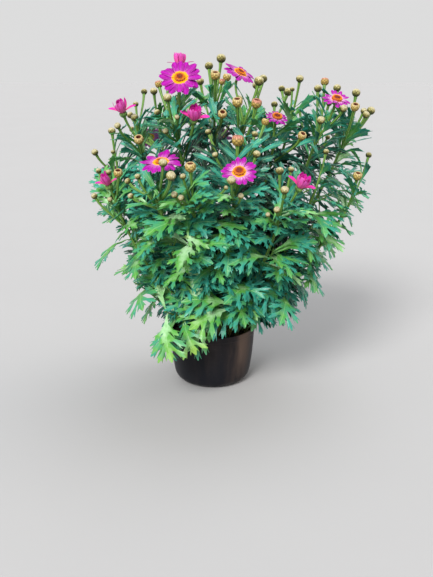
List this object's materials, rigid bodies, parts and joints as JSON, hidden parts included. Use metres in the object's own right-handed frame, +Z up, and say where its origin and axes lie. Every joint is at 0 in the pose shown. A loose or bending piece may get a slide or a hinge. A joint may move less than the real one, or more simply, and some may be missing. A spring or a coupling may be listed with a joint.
{
  "type": "potted marguerite daisy",
  "caption": "Bushy marguerite daisy with fingered leaves, round buds and pink open blooms, growing in soil in a tapered black nursery pot.",
  "frame": {"origin": "middle of the underside of the pot", "axes": "+Z up, +X to the right as seen from the front, +Y to the back"},
  "size_m": [0.4044, 0.3617, 0.4758],
  "materials": {
    "pot": "satin",
    "soil": "matte",
    "foliage": "matte",
    "stalk": "matte",
    "bud": "matte",
    "ray": "matte",
    "cup": "matte",
    "disc": "matte"
  },
  "bodies": {
    "root": {"pot": "pot", "soil": "soil", "stem_left_crown": "foliage", "cup_left_crown": "cup", "stem_left_centre": "foliage", "cup_crown": "cup", "rays_crown": "ray", "disc_crown": "disc", "cup_centre": "cup", "stem_crown": "foliage", "stem_right_of_crown": "foliage", "rays_right_of_crown": "ray", "disc_right_of_crown": "disc", "stem_middle": "foliage", "rays_middle": "ray", "disc_middle": "disc", "stem_right_centre": "foliage", "rays_right_centre": "ray", "disc_right_centre": "disc", "stem_right_back_crown": "foliage", "stem_right_crown": "foliage", "rays_right_crown": "ray", "disc_right_crown": "disc", "stem_far_right": "foliage", "stem_right_low": "foliage", "stem_far_right_low": "foliage", "stem_left_low": "foliage", "cup_left_low": "cup", "stem_left_front": "foliage", "rays_left_front": "ray", "disc_left_front": "disc", "stem_front": "foliage", "stem_right_front": "foliage", "cup_right_front": "cup", "stem_back_left": "foliage", "rays_back_left": "ray", "disc_back_left": "disc", "stem_back": "foliage", "rays_back": "ray", "disc_back": "disc", "stem_back_right": "foliage", "cup_back_right": "cup", "stem_far_back_right": "foliage", "stem_far_left": "foliage", "rays_far_left": "ray", "disc_far_left": "disc"}
  },
  "joints": []
}
